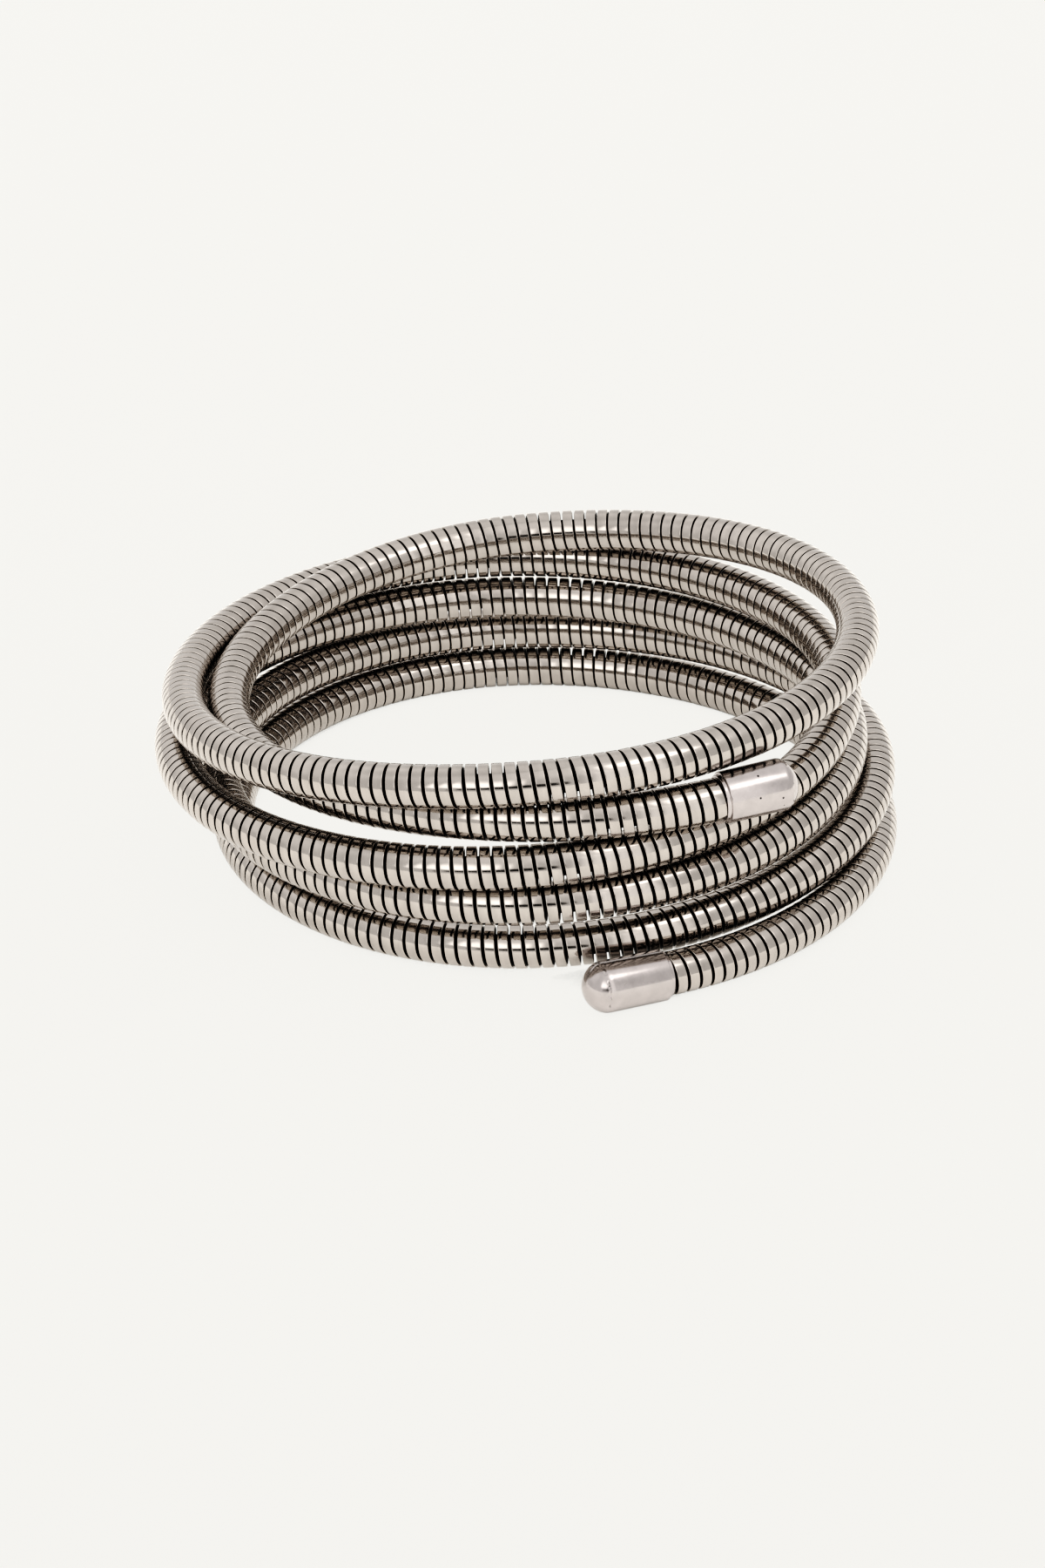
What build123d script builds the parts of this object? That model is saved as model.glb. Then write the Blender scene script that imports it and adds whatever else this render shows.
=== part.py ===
from build123d import *
import os
from math import asin, cos, degrees, pi, radians, sin, tan

# Spiral coil bracelet: a hollow flexible tube wound from metal strip, coiled a little over five
# turns round the wrist, with a domed cap at each end. The turns run clockwise and downwards.
# The origin is on the surface that it rests on, under the middle of the whole. +Z is up, and -Y is
# the front, where both ends lie.

# Tube sizes in millimetres
tube_diameter = 4.0
tube_bore = 2.2
coil_radius = 31.0
turn_gap = 0.12

# Cap sizes in millimetres
cap_diameter = 4.7
barrel_length = 5.8
upper_dome_depth = 1.35
lower_dome_depth = 1.9
collar_diameter = 4.2
collar_length = 0.35
spigot_length = 1.8
spigot_clearance = 0.08
seat_gap = 0.05

# Where the tube ends, in quarter turns after the table's first row
upper_end = 0.655
lower_end = 20.767
runs_per_quarter = 4
arc_share = 0.45

# The coil, one row for each quarter turn, from the right side, then front, left and back:
# out, how far the tube's middle is beyond the coil radius, and up, how far it is above the middle
# of the turn that rests on the surface, both in turn spacings
out_and_up = [
    (1.95, 4.24),
    (-0.07, 3.59),
    (-0.77, 3.05),
    (-0.82, 3.97),
    (-0.05, 4.89),
    (0.15, 4.57),
    (0.27, 3.15),
    (-0.21, 3.11),
    (-0.39, 3.29),
    (0.18, 2.58),
    (0.46, 1.97),
    (-0.40, 2.13),
    (-0.21, 2.13),
    (-0.01, 1.60),
    (-0.48, 1.15),
    (0.24, 1.00),
    (0.46, 1.18),
    (-0.28, 0.37),
    (-0.79, 0.07),
    (0.20, 0.00),
    (0.50, 0.02),
    (1.15, 0.10),
]
spacing = tube_diameter + turn_gap


def between(before, start, end, after, share):
    """The value a share of the way from start to end, on a smooth curve through all four."""
    slope_in = (end - before) / 2
    slope_out = (after - start) / 2
    rise = end - start
    bend_in = 3 * rise - 2 * slope_in - slope_out
    bend_out = slope_in + slope_out - 2 * rise
    return start + share * (slope_in + share * (bend_in + share * bend_out))


def table_value(column, quarter):
    """A column of the table, read between its rows."""
    values = [row[column] for row in out_and_up]
    values = [2 * values[0] - values[1]] + values + [2 * values[-1] - values[-2]]
    first = min(int(quarter), len(out_and_up) - 2)
    return between(*values[first:first + 4], quarter - first)


def tube_middle(quarter, outward=1.0):
    """The tube's middle, some quarter turns after the first row, and a factor further out."""
    radius = (coil_radius + spacing * table_value(0, quarter)) * outward
    height = tube_diameter / 2 + spacing * table_value(1, quarter)
    angle = quarter * pi / 2
    return Vector(radius * cos(angle), -radius * sin(angle), height)


def tube_path():
    """Straight runs that touch the coil at their middles, joined by tangent arcs."""
    count = round((lower_end - upper_end) * runs_per_quarter)
    step = (lower_end - upper_end) / count
    outward = 1 / cos(step / 2 * pi / 2)
    corners = [tube_middle(upper_end + (i + 0.5) * step, outward) for i in range(count)]
    points = [tube_middle(upper_end), *corners, tube_middle(lower_end)]
    runs = [after - before for before, after in zip(points, points[1:])]
    free = [run.length for run in runs]
    free[0] *= 2
    free[-1] *= 2
    radii = []
    for i in range(count):
        half_turn = radians(runs[i].get_angle(runs[i + 1])) / 2
        radii.append(arc_share * min(free[i], free[i + 1]) / tan(half_turn))
    print("arc radii from", round(min(radii), 1), "to", round(max(radii), 1))
    return FilletPolyline(*points, radius=radii)


def hollow_tube(path):
    """The tube's wall, swept along its path."""
    ring = Circle(tube_diameter / 2) - Circle(tube_bore / 2)
    return sweep(Plane(origin=path @ 0, z_dir=path % 0) * ring, path=path)


def round_length(diameter, length, base):
    """A plain round length of a cap, standing at a height above the tube's end."""
    return Pos(0, 0, base) * Cylinder(diameter / 2, length, align=(Align.CENTER, Align.CENTER, Align.MIN))


def end_cap(dome_depth):
    """One cap, standing on the tube's end at Z 0: spigot, collar, barrel and dome in one solid."""
    barrel_base = seat_gap + collar_length
    dome_base = barrel_base + barrel_length
    dome_radius = ((cap_diameter / 2) ** 2 + dome_depth ** 2) / (2 * dome_depth)
    dome_start = degrees(asin((dome_radius - dome_depth) / dome_radius))
    spigot = round_length(tube_bore - 2 * spigot_clearance, spigot_length + seat_gap, -spigot_length)
    collar = round_length(collar_diameter, collar_length, seat_gap)
    barrel = round_length(cap_diameter, barrel_length, barrel_base)
    dome_align = (Align.CENTER, Align.CENTER, Align.MAX)
    dome = Pos(0, 0, dome_base + dome_depth) * Sphere(dome_radius, arc_size1=dome_start, align=dome_align)
    return spigot + collar + barrel + dome


path = tube_path()
tube = hollow_tube(path)
wall_section = pi / 4 * (tube_diameter ** 2 - tube_bore ** 2)
print("tube volume", round(tube.volume, 1), "section times length", round(wall_section * path.length, 1))

pieces = {
    "coil_tube": tube,
    "cap_upper": Plane(origin=path @ 0, z_dir=-(path % 0)) * end_cap(upper_dome_depth),
    "cap_lower": Plane(origin=path @ 1, z_dir=path % 1) * end_cap(lower_dome_depth),
}
box = Compound(list(pieces.values())).bounding_box()
to_origin = Pos(-box.center().X, -box.center().Y, -box.min.Z)
print("whole size", box.size, "moved by", to_origin.position)

os.makedirs("parts", exist_ok=True)
for name, piece in pieces.items():
    export_step(to_origin * piece, f"parts/{name}.step")
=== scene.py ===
# %% [markdown]
# # A coil bracelet wound from metal strip
#
# The real bracelet is one long bendy tube, laid a little over five times round the wrist, with a
# domed cap on each end. The tube isn't drawn or cast. A narrow polished strip is wound round and
# round, edge beside edge, as in a lamp's gooseneck, so that it can flex. This lesson builds it in
# the same order: the camera, the line that the tube follows, the wound strip, the two caps, and
# then the metal, the paper and the light.

# %% Load the frame
from math import asin, cos, pi, radians, sin, sqrt, tau

import bmesh
import bpy
import numpy as np
from mathutils import Matrix, Vector


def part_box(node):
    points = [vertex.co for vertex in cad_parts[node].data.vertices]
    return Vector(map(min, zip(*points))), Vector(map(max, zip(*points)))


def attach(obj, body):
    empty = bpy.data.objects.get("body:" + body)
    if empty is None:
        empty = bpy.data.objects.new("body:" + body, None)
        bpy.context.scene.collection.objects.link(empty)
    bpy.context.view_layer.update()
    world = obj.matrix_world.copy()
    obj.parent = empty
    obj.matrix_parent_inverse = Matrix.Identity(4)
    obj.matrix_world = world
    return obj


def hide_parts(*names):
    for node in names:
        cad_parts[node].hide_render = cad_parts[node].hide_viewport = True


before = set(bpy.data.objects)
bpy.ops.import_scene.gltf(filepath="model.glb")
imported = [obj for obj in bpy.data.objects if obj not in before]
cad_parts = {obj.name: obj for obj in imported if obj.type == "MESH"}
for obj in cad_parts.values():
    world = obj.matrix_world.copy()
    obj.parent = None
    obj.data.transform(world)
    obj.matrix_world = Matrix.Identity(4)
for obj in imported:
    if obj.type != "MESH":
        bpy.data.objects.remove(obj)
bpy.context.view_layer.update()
scene = bpy.context.scene
mm = 0.001

# %% [markdown]
# ## The camera
#
# A product shot of jewellery is taken with a long lens from half a metre away, a little above the
# table. The camera could be aimed by eye. Here its place, its pitch and its focal length are values
# that were fitted to the photograph, so that each turn of the coil falls where it does there.

# %% Camera
camera_place = Vector((-0.42, -446.41, 231.60)) * mm
camera_pitch = radians(26.845)
film_height = 36.0
focal_length = 121.79

camera = bpy.data.objects.new("camera", bpy.data.cameras.new("camera"))
camera.data.sensor_fit = "VERTICAL"
camera.data.sensor_height = film_height
camera.data.lens = focal_length
camera.location = camera_place
camera.rotation_euler = (pi / 2 - camera_pitch, 0, 0)
scene.collection.objects.link(camera)
scene.camera = camera
print("camera", round(camera_place.length, 3), "m from the bracelet")

# %% [markdown]
# ## The line of the coil
#
# The turns of the real coil are uneven. They lean, cross and lie in each other's lap, because the
# tube springs back by itself. A plain helix would look like a machine spring, so the line is worked
# out from a small table: for each quarter turn, how far out and how far up the tube's middle lies,
# in turn spacings. Between two rows it runs on a smooth curve through four of them.

# %% The coil's table
tube_diameter = 4.0 * mm
tube_radius = tube_diameter / 2
coil_radius = 31.0 * mm
turn_spacing = 4.12 * mm
upper_end = 0.655
lower_end = 20.767
out_and_up = np.array([
    (1.95, 4.24),
    (-0.07, 3.59),
    (-0.77, 3.05),
    (-0.82, 3.97),
    (-0.05, 4.89),
    (0.15, 4.57),
    (0.27, 3.15),
    (-0.21, 3.11),
    (-0.39, 3.29),
    (0.18, 2.58),
    (0.46, 1.97),
    (-0.40, 2.13),
    (-0.21, 2.13),
    (-0.01, 1.60),
    (-0.48, 1.15),
    (0.24, 1.00),
    (0.46, 1.18),
    (-0.28, 0.37),
    (-0.79, 0.07),
    (0.20, 0.00),
    (0.50, 0.02),
    (1.15, 0.10),
])
print("the tube makes", round((lower_end - upper_end) / 4, 2), "turns")

# %% The smooth line through the table


def smooth_column(column, quarters):
    """A column of the table, read at some quarter turns, on a smooth curve through its rows."""
    rows = out_and_up[:, column]
    rows = np.concatenate([[2 * rows[0] - rows[1]], rows, [2 * rows[-1] - rows[-2]]])
    first = np.clip(quarters.astype(int), 0, len(out_and_up) - 2)
    share = quarters - first
    before, start, end, after = (rows[first + i] for i in range(4))
    slope_in = (end - before) / 2
    slope_out = (after - start) / 2
    rise = end - start
    bend_in = 3 * rise - 2 * slope_in - slope_out
    bend_out = slope_in + slope_out - 2 * rise
    return start + share * (slope_in + share * (bend_in + share * bend_out))


def tube_middle(quarters):
    """The tube's middle at some quarter turns, before it is set in its place on the paper."""
    radius = coil_radius + turn_spacing * smooth_column(0, quarters)
    height = tube_radius + turn_spacing * smooth_column(1, quarters)
    angle = quarters * pi / 2
    return np.stack([radius * np.cos(angle), -radius * np.sin(angle), height], axis=1)


upper_middle = tube_middle(np.array([upper_end]))[0]
print("before the coil is set in its place, its upper end is at", (upper_middle / mm).round(1), "mm")

# %% [markdown]
# ## Distances along the coil
#
# To lay a winding on the coil, a script needs the coil's middle and its directions at any distance
# along the tube. So the line is measured once in fine steps. At each place it keeps three
# directions at right angles: along the tube, away from the wrist, and the third across both. They
# turn steadily with the coil, and so the winding on it isn't twisted. The solid model's line is made
# of short runs and arcs and this one is smooth, so the whole is drawn in by a hair to fill the same
# box.

# %% Measure the coil
fine_steps = 24000


def unit(vectors):
    """Each vector at a length of one."""
    return vectors / np.linalg.norm(vectors, axis=1, keepdims=True)


def into_box(points, low, high, node):
    """Points moved, and drawn in by a hair, so that their box from low to high is that of a CAD node."""
    cad_low, cad_high = (np.array(corner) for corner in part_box(node))
    factors = (cad_high - cad_low) / (high - low)
    print(node, "is met by factors of", factors.round(4))
    return cad_low + (points - low) * factors


coil_points = tube_middle(np.linspace(upper_end, lower_end, fine_steps))
coil_steps = np.linalg.norm(np.diff(coil_points, axis=0), axis=1)
coil_distance = np.concatenate([[0], np.cumsum(coil_steps)])
coil_length = coil_distance[-1]
coil_along = unit(np.gradient(coil_points, axis=0))
reach = tube_radius * np.sqrt(1 - coil_along ** 2)
lowest = (coil_points - reach).min(axis=0)
highest = (coil_points + reach).max(axis=0)
coil_points = into_box(coil_points, lowest, highest, "coil_tube")
print("tube length", round(coil_length, 4), "m")

# %% A place on the coil


def along_coil(values, distance):
    """Values that are known at the fine steps, read at some distances along the tube."""
    return np.stack([np.interp(distance, coil_distance, values[:, i]) for i in range(3)], axis=1)


def coil_place(distance):
    """The tube's middle, and the directions outwards, across and along, at some distances along it."""
    along = unit(along_coil(coil_along, distance))
    beyond = distance - np.clip(distance, 0, coil_length)
    middle = along_coil(coil_points, distance) + along * beyond[:, None]
    outward = middle * (1, 1, 0)
    outward = unit(outward - along * (outward * along).sum(axis=1, keepdims=True))
    return middle, outward, np.cross(along, outward), along


print("half way along, the middle is at", coil_place(np.array([coil_length / 2]))[0].round(4), "m")

# %% [markdown]
# ## The strip's profile
#
# The strip is flat on top with softly rounded edges, and it leaves a deep narrow groove before the
# next winding. A bump map could fake the groove, but not the notches that it cuts in the outline,
# so it is real here. One pitch of the tube is a short chain of points: half the groove's floor, a
# wall, a rounded edge, the flat top, and the same again back down. A spin round the axis that also
# climbs one pitch turns the chain into one winding.

# %% One winding
lengths = 5
windings_in_length = 166
windings = lengths * windings_in_length
pitch = coil_length / windings
band_width = 0.96 * mm
band_edge_radius = 0.09 * mm
band_crown = 0.004 * mm
band_top = tube_radius - 0.004 * mm
groove_floor_radius = 1.1 * mm
sides = 40
seam_angle = radians(215)


def strip_profile():
    """The strip's outline over one pitch, as pairs of distance from the axis and distance along it."""
    half = band_width / 2
    shoulder = half - band_edge_radius
    corner = band_edge_radius * (1 - sqrt(0.5))
    edge_top = band_top - band_crown
    rising = [
        (groove_floor_radius, -pitch / 2),
        (groove_floor_radius, -half),
        (edge_top - band_edge_radius, -half),
        (edge_top - corner, -half + corner),
        (edge_top, -shoulder),
    ]
    return rising + [(radius, -along) for radius, along in reversed(rising)]


def one_winding():
    """A mesh of one winding, wound round the Z axis from the seam's angle."""
    bm = bmesh.new()
    chain = [bm.verts.new((radius, 0, along)) for radius, along in strip_profile()]
    edges = [bm.edges.new(pair) for pair in zip(chain, chain[1:])]
    bmesh.ops.rotate(bm, verts=chain, cent=(0, 0, 0), matrix=Matrix.Rotation(seam_angle, 3, "Z"))
    bmesh.ops.spin(
        bm, geom=chain + edges, cent=(0, 0, 0), axis=(0, 0, 1), dvec=(0, 0, pitch / sides),
        angle=tau, steps=sides,
    )
    bmesh.ops.recalc_face_normals(bm, faces=bm.faces)
    mesh = bpy.data.meshes.new("winding")
    bm.to_mesh(mesh)
    bm.free()
    return mesh


winding_mesh = one_winding()
print("each of", windings, "windings has", len(winding_mesh.polygons), "faces")
print("pitch", round(pitch / mm, 4), "mm")

# %% [markdown]
# ## From one winding to a straight tube
#
# An Array modifier repeats the winding and welds the copies into one screw, which is still
# straight. It is made in five lengths, so that no mesh grows too heavy. At the tube's two ends the
# screw is cut square, as a maker trims it, and the cut is closed.

# %% Straight lengths
weld_distance = 0.002 * mm
cut_tolerance = 1e-7


def repeated_winding(count):
    """A mesh of some windings, one after the other and welded."""
    piece = bpy.data.objects.new("straight", winding_mesh)
    scene.collection.objects.link(piece)
    array = piece.modifiers.new("windings", "ARRAY")
    array.use_relative_offset = False
    array.use_constant_offset = True
    array.constant_offset_displace = (0, 0, pitch)
    array.count = count
    array.use_merge_vertices = True
    array.merge_threshold = weld_distance
    bpy.context.view_layer.update()
    mesh = bpy.data.meshes.new_from_object(piece.evaluated_get(bpy.context.evaluated_depsgraph_get()))
    bpy.data.objects.remove(piece)
    return mesh


def straight_length(number):
    """One of the tube's lengths before it is bent. A spare winding past each end of the tube is cut off."""
    at_upper_end = number == 0
    at_lower_end = number == lengths - 1
    first = number * windings_in_length - (1 if at_upper_end else 0)
    last = (number + 1) * windings_in_length + (1 if at_lower_end else 0)
    mesh = repeated_winding(last - first)
    bm = bmesh.new()
    bm.from_mesh(mesh)
    bmesh.ops.translate(bm, verts=bm.verts, vec=(0, 0, first * pitch))
    for here, height, facing in ((at_upper_end, 0.0, -1), (at_lower_end, coil_length, 1)):
        if here:
            bmesh.ops.bisect_plane(
                bm, geom=bm.verts[:] + bm.edges[:] + bm.faces[:], dist=cut_tolerance,
                plane_co=(0, 0, height), plane_no=(0, 0, facing), clear_outer=True,
            )
    bmesh.ops.holes_fill(bm, edges=[edge for edge in bm.edges if edge.is_boundary])
    bm.to_mesh(mesh)
    bm.free()
    return mesh


straight_meshes = [straight_length(number) for number in range(lengths)]
print(lengths, "straight lengths of", windings_in_length, "windings")

# %% [markdown]
# ## Bending the tube
#
# Bending a rubber hose stretches its outside. A wound strip can't stretch: each winding stays as
# wide as it is, and only the grooves open on the outside of the bend and close on the inside. So a
# point isn't simply moved along the coil. First the winding that it belongs to is placed by its
# middle line, and the rest of the strip is set beside that line at its true width. The groove's
# floor is the one part that stretches. Small steady errors in place and tilt keep the windings from
# looking machined. Each point also keeps what its finish needs later: how deep it lies in the
# groove, and its place on the strip as if that were unrolled.

# %% Bend a length
gap_error = 0.012 * mm
tilt_error = 0.020
# A point is on the groove's floor if it lies below this radius and this far from the band's middle.
floor_top = groove_floor_radius + 0.01 * mm
floor_start = 0.495 * pitch


def wander(turns, seed):
    """A smooth, uneven value between about -1 and 1 that changes from one winding to the next."""
    slow = np.sin(0.83 * turns + 2.1 * seed)
    return (np.sin(2.31 * turns + seed) + slow + np.sin(4.07 * turns - seed)) / 3


def bend_on_coil(mesh):
    """Lays a straight length on the coil, and keeps each point's depth and its place on the strip."""
    places = np.empty(len(mesh.vertices) * 3)
    mesh.vertices.foreach_get("co", places)
    x, y, z = places.reshape(-1, 3).T
    radius = np.hypot(x, y)
    part_turn = ((np.arctan2(y, x) - seam_angle) % tau) / tau
    turns = np.round(z / pitch - part_turn) + part_turn
    across = z - pitch * turns
    on_floor = (np.abs(across) > floor_start) & (radius < floor_top)
    tilt = tilt_error * wander(turns, 1.0)
    shift = gap_error * wander(turns, 4.0)
    distance = np.where(on_floor, z, pitch * turns + shift)
    lift = np.where(on_floor, 0, across * tilt - 0.5 * band_width * np.abs(tilt))
    beside = np.where(on_floor, 0, across)
    middle, outward, third, along = coil_place(distance)
    from_axis = ((radius + lift) / radius)[:, None]
    bent = middle + from_axis * (outward * x[:, None] + third * y[:, None]) + along * beside[:, None]
    mesh.vertices.foreach_set("co", bent.ravel())
    # The groove's depth later sets the painted shade deep in the grooves.
    depth = mesh.attributes.new("groove_depth", "FLOAT", "POINT")
    depth.data.foreach_set("value", (band_top - radius) / (band_top - groove_floor_radius))
    corners = np.empty(len(mesh.loops), dtype=int)
    mesh.loops.foreach_get("vertex_index", corners)
    strip_map = np.stack([turns * tau * tube_radius, across], axis=1)[corners]
    mesh.uv_layers.new(name="strip").data.foreach_set("uv", strip_map.ravel())
    mesh.update()


for mesh in straight_meshes:
    bend_on_coil(mesh)
print("bent", sum(len(mesh.vertices) for mesh in straight_meshes), "points")

# %% [markdown]
# ## Flat tops
#
# Plain smooth shading would bend the reflections all the way across each narrow top, as if it were
# a bead. The real tops are flat and only their edges are round. So each point's normal is taken
# from the faces round it in proportion to their size, and the wide flat top leads. Then the five
# lengths become objects, which stand in for the plain tube of the solid model.

# %% The wound tube


def flat_tops(mesh):
    """Smooth shading in which the widest faces lead, so that the flat tops reflect like flat metal."""
    area = np.empty(len(mesh.polygons))
    facing = np.empty(len(mesh.polygons) * 3)
    sizes = np.empty(len(mesh.polygons), dtype=int)
    corners = np.empty(len(mesh.loops), dtype=int)
    mesh.polygons.foreach_get("area", area)
    mesh.polygons.foreach_get("normal", facing)
    mesh.polygons.foreach_get("loop_total", sizes)
    mesh.loops.foreach_get("vertex_index", corners)
    pull = np.repeat(facing.reshape(-1, 3) * area[:, None], sizes, axis=0)
    count = len(mesh.vertices)
    normals = np.stack([np.bincount(corners, pull[:, i], count) for i in range(3)], axis=1)
    mesh.shade_smooth()
    mesh.normals_split_custom_set_from_vertices(unit(normals))


strip_lengths = []
for number, mesh in enumerate(straight_meshes):
    flat_tops(mesh)
    piece = bpy.data.objects.new(f"strip_length_{number + 1}", mesh)
    scene.collection.objects.link(piece)
    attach(piece, "root")
    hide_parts("coil_tube")
    strip_lengths.append(piece)
    mesh.calc_loop_triangles()
    print(piece.name, "has", len(mesh.loop_triangles), "triangles")

# %% [markdown]
# ## The caps
#
# Each end of the tube is plugged with a turned cap: a spigot in the bore, a narrow collar against
# the last winding, a plain barrel, and a shallow dome. It is a lathe part, so half its outline is
# spun round its axis. The edge between barrel and dome was buffed soft, and a bevel gives it that.
# The two caps differ only in how deep their domes are.

# %% Turn a cap
cap_radius = 2.35 * mm
barrel_length = 5.8 * mm
upper_dome_depth = 1.35 * mm
lower_dome_depth = 1.9 * mm
collar_radius = 2.1 * mm
collar_length = 0.35 * mm
spigot_radius = 1.02 * mm
spigot_length = 1.8 * mm
seat_gap = 0.05 * mm
rim_softness = 0.30 * mm
barrel_softness = 0.09 * mm
collar_softness = 0.05 * mm
cap_sides = 96
dome_rings = 14
bevel_steps = 4
pole_weld = 0.001 * mm
same_place = 1e-7


def soften_ring(bm, height, size):
    """Rounds the outer sharp edge that runs round a cap at a height."""
    ring = [
        edge for edge in bm.edges
        if all(abs(vert.co.z - height) < same_place for vert in edge.verts)
        and all(Vector(vert.co.xy).length > collar_radius - same_place for vert in edge.verts)
        and len({round(Vector(vert.co.xy).length, 6) for vert in edge.verts}) == 1
    ]
    bmesh.ops.bevel(
        bm, geom=ring, offset=size, affect="EDGES", segments=bevel_steps, profile=0.5, material=-1,
        clamp_overlap=True,
    )


def cap_mesh(dome_depth):
    """A cap that stands on the tube's end at Z 0 and points up."""
    base = seat_gap + collar_length
    rim = base + barrel_length
    dome_radius = (cap_radius ** 2 + dome_depth ** 2) / (2 * dome_depth)
    dome_middle = rim + dome_depth - dome_radius
    latitudes = np.linspace(asin((dome_radius - dome_depth) / dome_radius), pi / 2, dome_rings)
    dome = [(dome_radius * np.cos(a), dome_middle + dome_radius * np.sin(a)) for a in latitudes]
    spigot = [(0, -spigot_length), (spigot_radius, -spigot_length), (spigot_radius, seat_gap)]
    outline = spigot + [(collar_radius, seat_gap), (collar_radius, base), (cap_radius, base)] + dome
    bm = bmesh.new()
    chain = [bm.verts.new((radius, 0, height)) for radius, height in outline]
    edges = [bm.edges.new(pair) for pair in zip(chain, chain[1:])]
    bmesh.ops.spin(
        bm, geom=chain + edges, cent=(0, 0, 0), axis=(0, 0, 1), angle=tau, steps=cap_sides,
        use_merge=True,
    )
    bmesh.ops.remove_doubles(bm, verts=bm.verts, dist=pole_weld)
    bmesh.ops.recalc_face_normals(bm, faces=bm.faces)
    soften_ring(bm, rim, rim_softness)
    soften_ring(bm, base, barrel_softness)
    soften_ring(bm, seat_gap, collar_softness)
    mesh = bpy.data.meshes.new("cap")
    bm.to_mesh(mesh)
    bm.free()
    return mesh


print("cap length", round((collar_length + barrel_length + lower_dome_depth) / mm, 2), "mm at most")

# %% [markdown]
# ## Seating the caps
#
# A cap is turned standing upright, and then it is set on the tube's end with its axis along the
# tube. The place and the turn go into the mesh and not onto the object, so that the object stays at
# the origin and a pattern on it can't slide.

# %% Both caps


def place_cap(name, node, distance, direction, dome_depth):
    """A cap on one of the tube's ends, which stands for a CAD node."""
    middle, outward, _, along = (Vector(value[0]) for value in coil_place(np.array([distance])))
    ahead = along * direction
    turn = Matrix((outward, ahead.cross(outward), ahead)).transposed().to_4x4()
    mesh = cap_mesh(dome_depth)
    mesh.transform(Matrix.Translation(middle) @ turn)
    places = np.empty(len(mesh.vertices) * 3)
    mesh.vertices.foreach_get("co", places)
    places = places.reshape(-1, 3)
    places = into_box(places, places.min(axis=0), places.max(axis=0), node)
    mesh.vertices.foreach_set("co", places.ravel())
    mesh.shade_smooth()
    piece = bpy.data.objects.new(name, mesh)
    scene.collection.objects.link(piece)
    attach(piece, "root")
    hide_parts(node)
    print(name, "has", len(mesh.polygons), "faces")
    return piece


caps = [
    place_cap("domed_cap_upper", "cap_upper", 0.0, -1, upper_dome_depth),
    place_cap("domed_cap_lower", "cap_lower", coil_length, 1, lower_dome_depth),
]

# %% [markdown]
# ## Colours and nodes
#
# Colours are picked as they look on a screen, as sRGB hex values, and the renderer counts in linear
# light, so one function turns the first into the second. Materials and the light are trees of
# nodes. They could be wired by hand in the editor. Here one function adds a node, sets it, and gives
# each of its inputs either a value or another node's output.

# %% Colours and nodes


def linear(hex_colour):
    """An sRGB hex colour as a linear colour with alpha."""
    shares = [int(hex_colour[i:i + 2], 16) / 255 for i in (1, 3, 5)]
    return tuple(s / 12.92 if s <= 0.04045 else ((s + 0.055) / 1.055) ** 2.4 for s in shares) + (1.0,)


def add_node(tree, kind, inputs=(), **settings):
    """Adds a node with its settings, gives its inputs values or links, and returns its outputs."""
    node = tree.nodes.new(kind)
    for name, value in settings.items():
        setattr(node, name, value)
    for place, value in dict(inputs).items():
        if isinstance(value, bpy.types.NodeSocket):
            tree.links.new(value, node.inputs[place])
        else:
            node.inputs[place].default_value = value
    return node.outputs


def new_material(name):
    """A node material with nothing in it."""
    material = bpy.data.materials.new(name)
    material.use_nodes = True
    material.node_tree.nodes.clear()
    return material, material.node_tree


plating = "#B6AFA9"
cap_plating = "#B8B1AF"
# Near black, painted deep in the grooves as painted shade.
groove_shade_colour = "#1A1411"
print("the plating is", [round(share, 3) for share in linear(plating)[:3]], "in linear light")

# %% [markdown]
# ## The strip's metal
#
# The strip is steel with a warm white plating. Its colour is only in its reflections, so the base
# colour is the plating's tint and the rest is roughness. It was polished before it was wound, which
# leaves fine lines along it, drawn somewhat wider here than they are, so that they show. Deep in the
# grooves the tint is painted near black and rough, as painted shade. The undersides where turns close
# over each other get painted shade too. Painting it by hand would take long, so an Ambient Occlusion
# node finds the closed places, and the surface's own direction picks the undersides. Every pattern
# is sized in millimetres on the unrolled strip.

# %% Strip patterns
strip_wave = 3.0
strip_wave_height = 0.004 * mm
drawn_line_length = 9.0
drawn_line_width = 0.14
drawn_line_height = 0.0007 * mm
stains_per_mm = (0.35, 0.9, 1)
# Painted shade starts at the first value of each pair and is full at the second: how open the place is
# within the reach, where 1 is quite open, and how far it faces upwards, where 1 is straight up.
underside_shade_reach = 5.0 * mm
underside_shade_by_openness = (0.62, 0.20)
underside_shade_by_upwardness = (0.45, 0.05)
underside_shade_strength = 0.70
per_mm = (1 / mm, 1 / mm, 1 / mm)


def painted_underside_shade(tree):
    """Painted shade: 1 where the strip is open, and less on the undersides where turns close over it."""
    room = add_node(tree, "ShaderNodeAmbientOcclusion", {"Distance": underside_shade_reach}, samples=3)["AO"]
    normal = add_node(tree, "ShaderNodeNewGeometry")["Normal"]
    upward = add_node(tree, "ShaderNodeSeparateXYZ", {"Vector": normal})["Z"]
    darkened = underside_shade_strength
    for value, (start, full) in ((room, underside_shade_by_openness), (upward, underside_shade_by_upwardness)):
        ends = {"Value": value, "From Min": start, "From Max": full}
        share = add_node(tree, "ShaderNodeMapRange", ends, interpolation_type="SMOOTHSTEP")["Result"]
        darkened = add_node(tree, "ShaderNodeMath", {0: share, 1: darkened}, operation="MULTIPLY")["Value"]
    return add_node(tree, "ShaderNodeMath", {0: 1.0, 1: darkened}, operation="SUBTRACT")["Value"]


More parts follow.
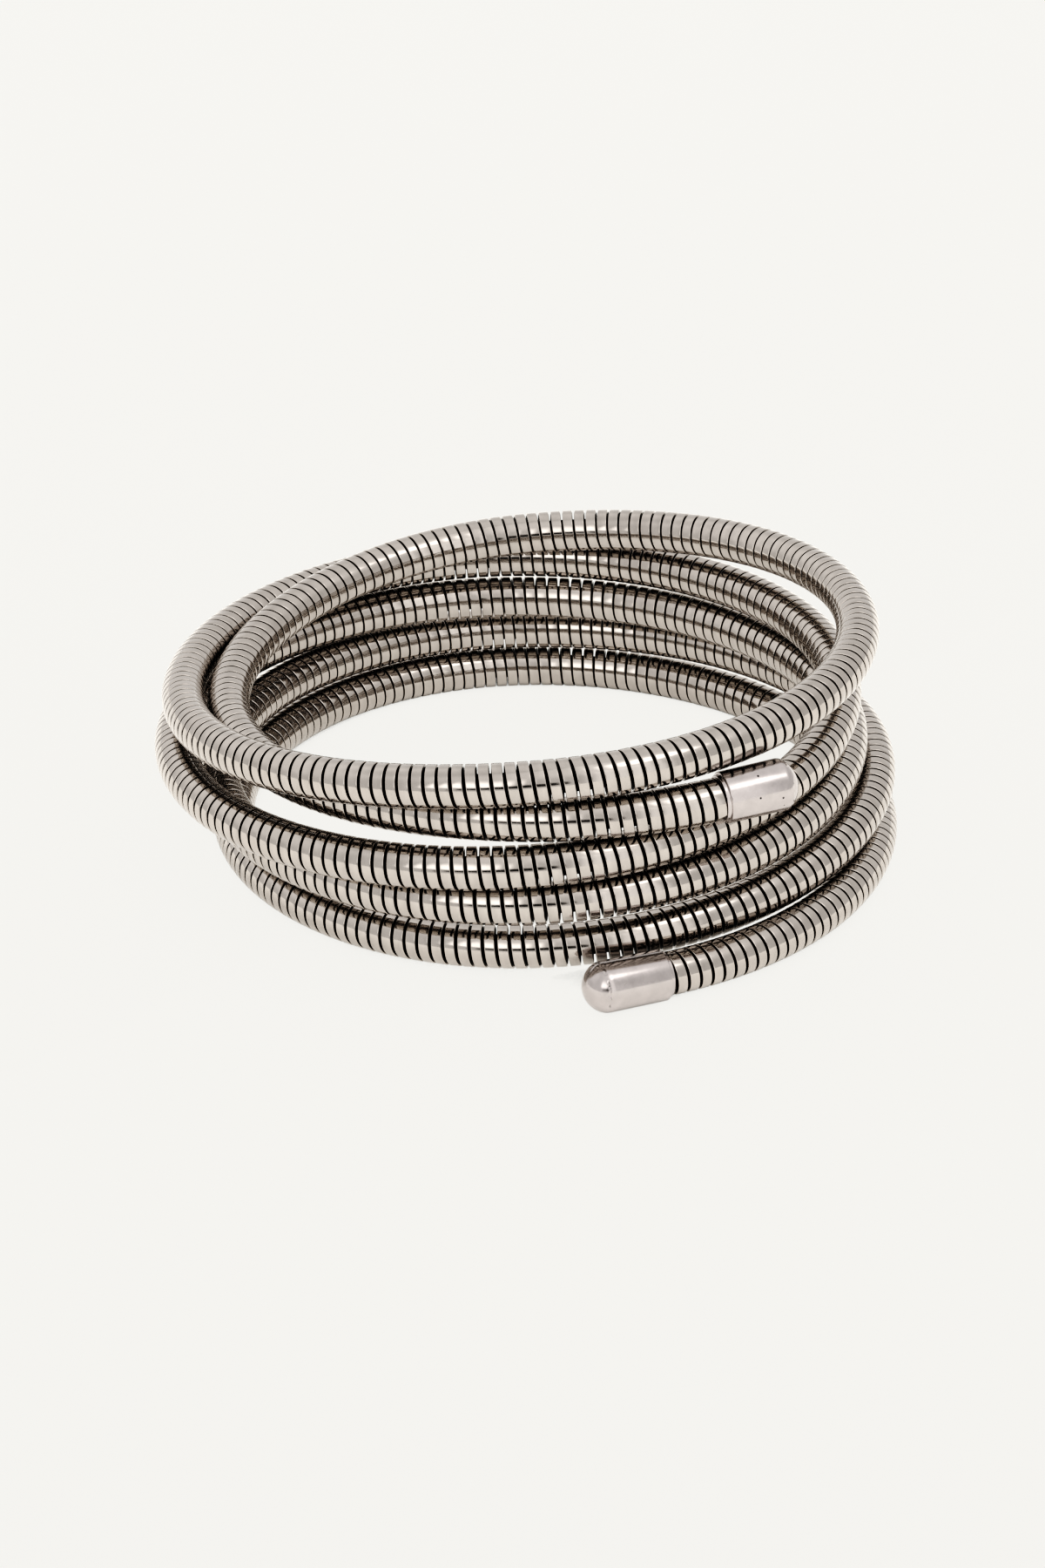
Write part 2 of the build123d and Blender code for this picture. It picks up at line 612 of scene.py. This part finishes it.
def strip_pattern(tree, factors, detail, roughness):
    """Noise on the unrolled strip, with a factor for each millimetre along it and across it."""
    strip = add_node(tree, "ShaderNodeUVMap", uv_map="strip")["UV"]
    in_mm = add_node(tree, "ShaderNodeVectorMath", {0: strip, 1: per_mm}, operation="MULTIPLY")["Vector"]
    place = add_node(tree, "ShaderNodeVectorMath", {0: in_mm, 1: factors}, operation="MULTIPLY")["Vector"]
    look = {"Vector": place, "Scale": 1.0, "Detail": detail, "Roughness": roughness}
    return add_node(tree, "ShaderNodeTexNoise", look)["Fac"]


print("drawn lines", drawn_line_width, "mm wide and", drawn_line_length, "mm long")

# %% Strip finish
# Nearly all of a noise lies between these two values, and they become the ends of what it drives:
# the tint's brightness in stains, and the roughness of polished metal along the drawn lines.
usual_noise = {"From Min": 0.3, "From Max": 0.7}
stain_tones = {"To Min": 0.90, "To Max": 1.08}
strip_polish = {"To Min": 0.07, "To Max": 0.15}
# Painted shade starts at this share of the groove's depth and is full, near black and rough, from the second
# one down.
groove_shade_depths = {"From Min": 0.20, "From Max": 0.34}
groove_roughness = 0.6


def plated_strip():
    """Polished plating on wound strip: bright warm tops with fine lines; grooves and undersides get painted
    shade.
    """
    material, tree = new_material("polished_plated_strip")
    drawn = strip_pattern(tree, (1 / drawn_line_length, 1 / drawn_line_width, 1), 3.0, 0.6)
    stain = strip_pattern(tree, stains_per_mm, 4.0, 0.6)
    wave = strip_pattern(tree, (1 / strip_wave, 1 / strip_wave, 1), 1.0, 0.5)
    depth = add_node(tree, "ShaderNodeAttribute", attribute_name="groove_depth")["Fac"]
    groove_shade = add_node(tree, "ShaderNodeMapRange", {"Value": depth, **groove_shade_depths})["Result"]
    tone = add_node(tree, "ShaderNodeMapRange", {"Value": stain, **usual_noise, **stain_tones})["Result"]
    # The stains' tone, times painted shade on the closed undersides.
    shade_parts = {0: tone, 1: painted_underside_shade(tree)}
    shade = add_node(tree, "ShaderNodeMath", shade_parts, operation="MULTIPLY")["Value"]
    tint = {"Factor": 1.0, "A": linear(plating), "B": shade}
    tinted_colour = add_node(tree, "ShaderNodeMix", tint, data_type="RGBA", blend_type="MULTIPLY")["Result"]
    # Deep in the groove the tint goes near black: painted shade.
    shaded_in_grooves = {"Factor": groove_shade, "A": tinted_colour, "B": linear(groove_shade_colour)}
    colour = add_node(tree, "ShaderNodeMix", shaded_in_grooves, data_type="RGBA")["Result"]
    polish = add_node(tree, "ShaderNodeMapRange", {"Value": drawn, **usual_noise, **strip_polish})["Result"]
    rough_ends = {"Value": groove_shade, "To Min": polish, "To Max": groove_roughness}
    rough = add_node(tree, "ShaderNodeMapRange", rough_ends)["Result"]
    waves = add_node(tree, "ShaderNodeBump", {"Distance": strip_wave_height, "Height": wave})["Normal"]
    fine = {"Distance": drawn_line_height, "Height": drawn, "Normal": waves}
    lines = add_node(tree, "ShaderNodeBump", fine)["Normal"]
    surface = {"Metallic": 1.0, "Base Color": colour, "Roughness": rough, "Normal": lines}
    metal = add_node(tree, "ShaderNodeBsdfPrincipled", surface)["BSDF"]
    add_node(tree, "ShaderNodeOutputMaterial", {"Surface": metal})
    return material


strip_finish = plated_strip()
for piece in strip_lengths:
    piece.data.materials.append(strip_finish)
print(strip_finish.name, "has", len(strip_finish.node_tree.nodes), "nodes")

# %% [markdown]
# ## The caps' metal
#
# The caps were turned, soldered on and buffed by hand. Buffing leaves a fine unevenness, like the
# skin of an orange, that frays the edge of every reflection, and a few small pits stay near the
# solder. The pattern could be painted on an unrolled cap. Here it is noise in the cap's own space,
# which needs no seam: a fine noise for the skin, a broad one for stains, and the middles of wide
# Voronoi cells for the few pits.

# %% Cap finish
skin_size = 0.22
skin_height = 0.0012 * mm
cap_stains_per_mm = 0.9
pit_spacing = 1.9
pit_height = 0.05 * mm
pit_edge = {"From Min": 0.03, "From Max": 0.07}
cap_stain_tones = {"To Min": 0.93, "To Max": 1.06}
cap_polish = {"To Min": 0.11, "To Max": 0.24}


def plated_cap():
    """Polished plating on a turned and buffed cap: bright, with frayed reflections and a few pits."""
    material, tree = new_material("buffed_plated_cap")
    place = add_node(tree, "ShaderNodeTexCoord")["Object"]
    in_mm = add_node(tree, "ShaderNodeVectorMath", {0: place, 1: per_mm}, operation="MULTIPLY")["Vector"]
    fine = {"Vector": in_mm, "Scale": 1 / skin_size, "Detail": 3.0, "Roughness": 0.6}
    skin = add_node(tree, "ShaderNodeTexNoise", fine)["Fac"]
    broad = {"Vector": in_mm, "Scale": cap_stains_per_mm, "Detail": 4.0, "Roughness": 0.6}
    stain = add_node(tree, "ShaderNodeTexNoise", broad)["Fac"]
    cells = add_node(tree, "ShaderNodeTexVoronoi", {"Vector": in_mm, "Scale": 1 / pit_spacing})["Distance"]
    pit_ends = {"Value": cells, **pit_edge}
    pitted = add_node(tree, "ShaderNodeMapRange", pit_ends, interpolation_type="SMOOTHSTEP")["Result"]
    tone_ends = {"Value": stain, **usual_noise, **cap_stain_tones}
    tone = add_node(tree, "ShaderNodeMapRange", tone_ends)["Result"]
    shade = add_node(tree, "ShaderNodeMath", {0: tone, 1: pitted}, operation="MULTIPLY")["Value"]
    tint = {"Factor": 1.0, "A": linear(cap_plating), "B": shade}
    colour = add_node(tree, "ShaderNodeMix", tint, data_type="RGBA", blend_type="MULTIPLY")["Result"]
    rough = add_node(tree, "ShaderNodeMapRange", {"Value": skin, **usual_noise, **cap_polish})["Result"]
    buffed = add_node(tree, "ShaderNodeBump", {"Distance": skin_height, "Height": skin})["Normal"]
    deep = {"Distance": pit_height, "Height": pitted, "Normal": buffed}
    holes = add_node(tree, "ShaderNodeBump", deep)["Normal"]
    surface = {"Metallic": 1.0, "Base Color": colour, "Roughness": rough, "Normal": holes}
    metal = add_node(tree, "ShaderNodeBsdfPrincipled", surface)["BSDF"]
    add_node(tree, "ShaderNodeOutputMaterial", {"Surface": metal})
    return material


cap_finish = plated_cap()
for piece in caps:
    piece.data.materials.append(cap_finish)
print(cap_finish.name, "has", len(cap_finish.node_tree.nodes), "nodes")

# %% [markdown]
# ## The paper
#
# The bracelet lies on smooth matt paper, so evenly bright that it shows no shadow. The paper matters
# twice, because the underside of every turn shows it again, warmed by the metal. One sheet can't do
# both jobs: the paper beside the bracelet is white in the picture, and the paper close under it,
# which the metal shows, is dimmer. So there are two sheets, one seen only by the camera and one only
# in the metal. Both glow, the first almost alone by its glow, and an Ambient Occlusion node puts the
# glow out where the turns close over the paper, which paints their shade on it. The second sheet's
# lower glow is painted shade as well. The first sheet asks only how closed it is towards the front,
# so that the open paper just before the lowest turn stays white.

# %% Paper
paper_size = 6.0
paper_roughness = 0.9
paper_light = "#FFFEFA"
shade_reach = 6.0 * mm
front_side = (0.0, -0.89, 0.45)
upper_side = (0.0, 0.0, 1.0)


def matt_paper(name, colour, glow, side, dark_at, bright_at):
    """Matt off-white paper that glows, with painted shade where turns close it off on one side."""
    material, tree = new_material(name)
    looks = add_node(tree, "ShaderNodeCombineXYZ", dict(zip("XYZ", side)))["Vector"]
    reach = {"Distance": shade_reach, "Normal": looks}
    room = add_node(tree, "ShaderNodeAmbientOcclusion", reach, samples=8)["AO"]
    ends = {"Value": room, "From Min": dark_at, "From Max": bright_at}
    share = add_node(tree, "ShaderNodeMapRange", ends, interpolation_type="SMOOTHSTEP")["Result"]
    lit = add_node(tree, "ShaderNodeMath", {0: share, 1: glow}, operation="MULTIPLY")["Value"]
    surface = {"Base Color": linear(colour), "Roughness": paper_roughness}
    light = {"Emission Color": linear(paper_light), "Emission Strength": lit}
    paper = add_node(tree, "ShaderNodeBsdfPrincipled", {**surface, **light})["BSDF"]
    add_node(tree, "ShaderNodeOutputMaterial", {"Surface": paper})
    return material


def paper_sheet(name, height, material):
    """A wide sheet of paper under the bracelet."""
    bm = bmesh.new()
    bmesh.ops.create_grid(bm, x_segments=1, y_segments=1, size=paper_size / 2)
    bmesh.ops.translate(bm, verts=bm.verts, vec=(0, 0, height))
    mesh = bpy.data.meshes.new(name)
    bm.to_mesh(mesh)
    bm.free()
    mesh.materials.append(material)
    sheet = bpy.data.objects.new(name, mesh)
    sheet.visible_shadow = False
    sheet.visible_diffuse = False
    scene.collection.objects.link(sheet)
    return sheet


# Seen by the camera: an even glow, with painted shade only where turns close over it towards the front.
seen_paper = matt_paper(
    "seen_paper", "#262524", glow=0.845, side=front_side, dark_at=0.38, bright_at=0.52
)
paper = paper_sheet("paper", -0.1 * mm, seen_paper)
paper.visible_glossy = False
# Seen only in the metal: a dimmer glow, put out under the turns, which is painted shade.
paper_in_metal = matt_paper(
    "mirrored_paper", "#EDECE8", glow=0.48, side=upper_side, dark_at=0.06, bright_at=0.50
)
mirrored_paper = paper_sheet("mirrored_paper", 0.0, paper_in_metal)
mirrored_paper.visible_camera = False
print("paper", paper_size, "m wide")

# %% [markdown]
# ## The tent
#
# Polished metal shows the room more than itself, so jewellery is photographed inside a white tent.
# A plain grey world would look flat, and lamps with hard edges would look cut out. In the real tent
# two lamps shine through the cloth, one on the left of the lens and one high on the right, with a
# lighter stretch of cloth between them, and give the white streaks along each turn. Where the cloth
# is open for the lens it is dark, and that draws the thin black line along the front of the turns.
# So the world here is one brightness with soft-edged windows in it, brighter or darker. Each has an
# azimuth from the front to the right, half its width, the softness of its sides, its lower edge and
# that edge's softness, its upper edge and that one's softness, all in degrees, and the brightness
# that it adds.

# %% The tent's windows
tent_brightness = 0.90
tent_windows = {
    "lamp left of the lens": (-20, 14, 8, 18, 5, 44, 26, 1.65),
    "lamp high on the right": (54, 20, 22, 53, 8, 74, 14, 1.6),
    "cloth right of the lens": (31, 11, 8, -2, 6, 50, 14, 0.58),
    "opening for the lens": (-7, 17, 6, 6.5, 3, 14, 4, -0.84),
    "upper part of the opening": (-2, 11, 6, 9, 4, 20, 5, -0.80),
    "shade on the right": (95, 70, 60, -10, 10, 45, 40, -0.06),
    "glow above the front": (20, 80, 80, 50, 30, 95, 1, 0.27),
    "glow of the roof": (120, 110, 100, 45, 30, 95, 1, 0.20),
    "glow on the left": (-115, 40, 40, 20, 20, 56, 20, 0.28),
    "glow at the back": (180, 45, 60, -10, 10, 30, 40, 0.12),
}
# No window makes the cloth darker than this, and none has an upper edge without any width.
darkest_cloth = 0.02
least_softness = 0.0001
tent_light = "#FFFEFC"


def towards(azimuth):
    """The level direction at an azimuth from the front."""
    return Matrix.Rotation(radians(azimuth), 3, "Z") @ Vector((0, -1, 0))


def sine(degrees):
    """The height in a unit sphere of an angle above the floor."""
    return sin(radians(min(degrees, 90)))


def window_light(tree, level, height, window):
    """What one window adds in a direction, which is given by its level part and its height."""
    azimuth, half, side, low, low_soft, high, high_soft, amount = window
    aims = {0: level, 1: towards(azimuth)}
    beside = add_node(tree, "ShaderNodeVectorMath", aims, operation="DOT_PRODUCT")["Value"]
    borders = [
        (beside, cos(radians(half + side / 2)), cos(radians(max(half - side / 2, 0)))),
        (height, sine(low - low_soft / 2), sine(low + low_soft / 2)),
        (height, sine(high + high_soft / 2) + least_softness, sine(high - high_soft / 2)),
    ]
    light = float(amount)
    for value, outside, inside in borders:
        ends = {"Value": value, "From Min": outside, "From Max": inside}
        share = add_node(tree, "ShaderNodeMapRange", ends, interpolation_type="SMOOTHSTEP")["Result"]
        light = add_node(tree, "ShaderNodeMath", {0: share, 1: light}, operation="MULTIPLY")["Value"]
    return light


print("tent with", len(tent_windows), "windows")

# %% World


def lit_tent():
    """The tent's inside, as the world."""
    world = bpy.data.worlds.new("lit_tent")
    world.use_nodes = True
    tree = world.node_tree
    view = add_node(tree, "ShaderNodeTexCoord")["Generated"]
    height = add_node(tree, "ShaderNodeSeparateXYZ", {"Vector": view})["Z"]
    flat = add_node(tree, "ShaderNodeVectorMath", {0: view, 1: (1, 1, 0)}, operation="MULTIPLY")["Vector"]
    level = add_node(tree, "ShaderNodeVectorMath", {0: flat}, operation="NORMALIZE")["Vector"]
    total = tent_brightness
    for window in tent_windows.values():
        parts = {0: window_light(tree, level, height, window), 1: total}
        total = add_node(tree, "ShaderNodeMath", parts, operation="ADD")["Value"]
    kept = add_node(tree, "ShaderNodeMath", {0: total, 1: darkest_cloth}, operation="MAXIMUM")["Value"]
    background = tree.nodes["Background"]
    background.inputs["Color"].default_value = linear(tent_light)
    tree.links.new(kept, background.inputs["Strength"])
    return world


scene.world = lit_tent()
print("world with", len(scene.world.node_tree.nodes), "nodes")

# %% [markdown]
# ## Picture settings
#
# A filmic transform would grey the white paper, so the plain one is kept. A product photographer
# deepens the shadows afterwards, and so does this curve: only the dark greys go down, and the whites
# stay where they are. Light bounces up to eight times between the polished turns.

# %% Picture settings
# Each pair is a brightness before the curve and after it.
contrast_curve = [(0.045, 0.013), (0.080, 0.036), (0.156, 0.117), (0.262, 0.247), (0.44, 0.450)]
scene.view_settings.view_transform = "Standard"
scene.view_settings.look = "None"
scene.view_settings.use_curve_mapping = True
curve = scene.view_settings.curve_mapping.curves[3]
for seen, shown in contrast_curve:
    curve.points.new(seen, shown)
scene.view_settings.curve_mapping.update()
scene.cycles.max_bounces = 12
scene.cycles.glossy_bounces = 8
print("view transform", scene.view_settings.view_transform, "with", len(curve.points), "points in its curve")
